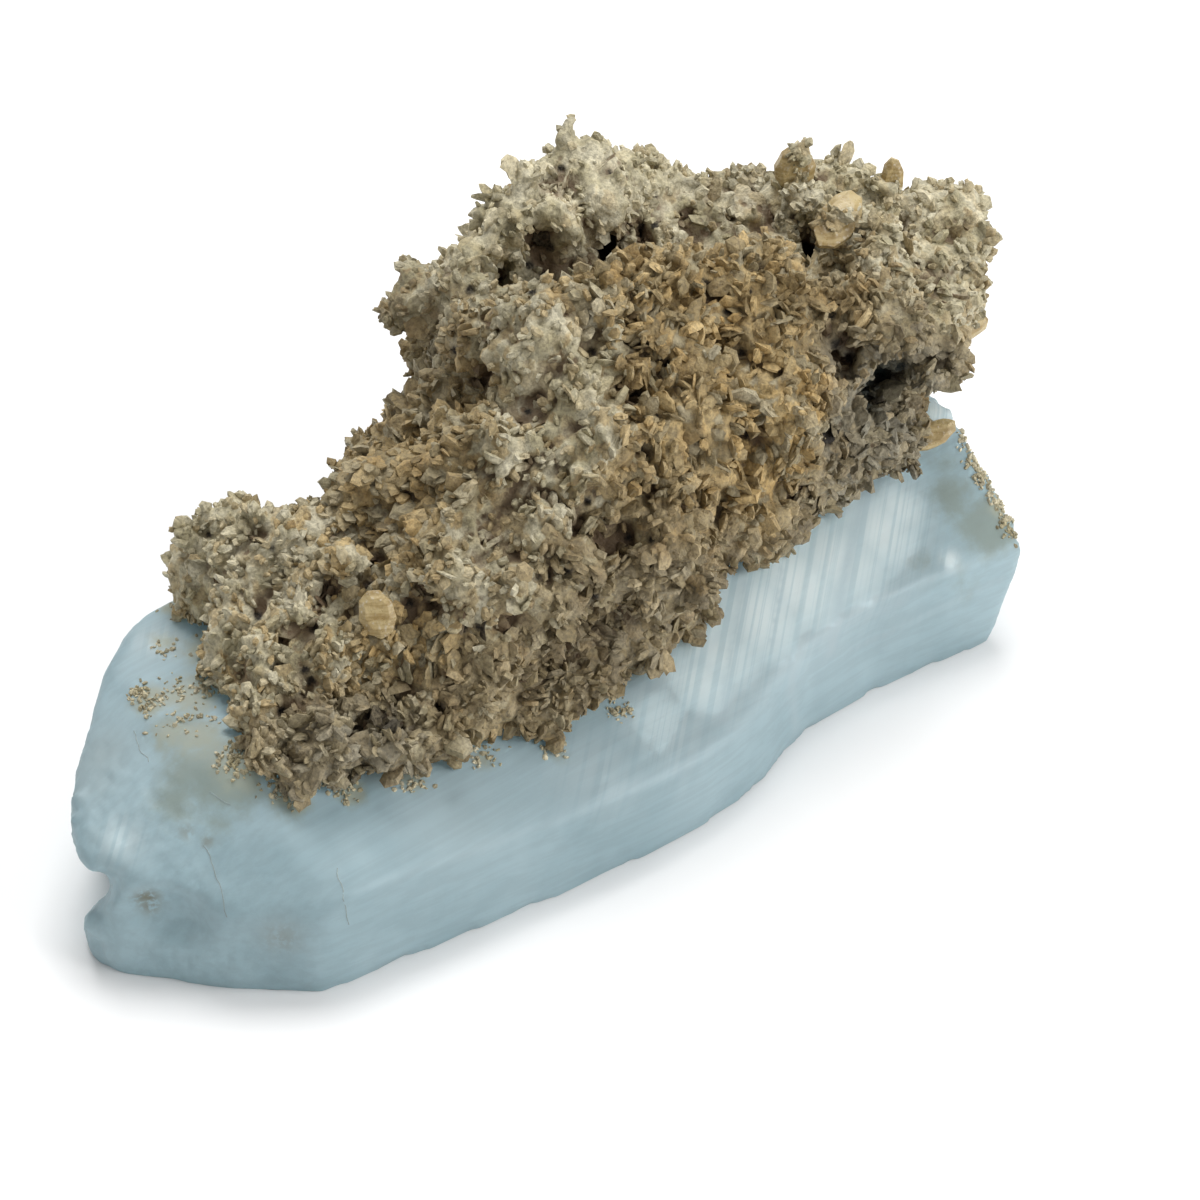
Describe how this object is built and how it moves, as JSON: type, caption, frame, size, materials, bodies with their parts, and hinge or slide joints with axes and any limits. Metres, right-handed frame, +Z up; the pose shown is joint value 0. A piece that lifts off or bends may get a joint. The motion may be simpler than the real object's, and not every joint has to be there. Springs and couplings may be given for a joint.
{
  "type": "selenite crystal slab",
  "caption": "Thick clear gypsum crystal lying on its flat cleavage face, with a tall rough crust of small tan lens-shaped blades grown over its top.",
  "frame": {"origin": "middle of the object's bounding box, on the flat foot", "axes": "+X along the crystal towards its right broken end, +Y to the back, +Z up"},
  "size_m": [0.1738, 0.0864, 0.0793],
  "materials": {
    "clear_gypsum": "clear to milky pale blue-grey crystal, silky on cleavage faces and waxy on worn rims",
    "tan_gypsum_blades": null
  },
  "bodies": {
    "root": {"selenite_slab": "clear_gypsum", "blade_crust": "tan_gypsum_blades"}
  },
  "joints": []
}
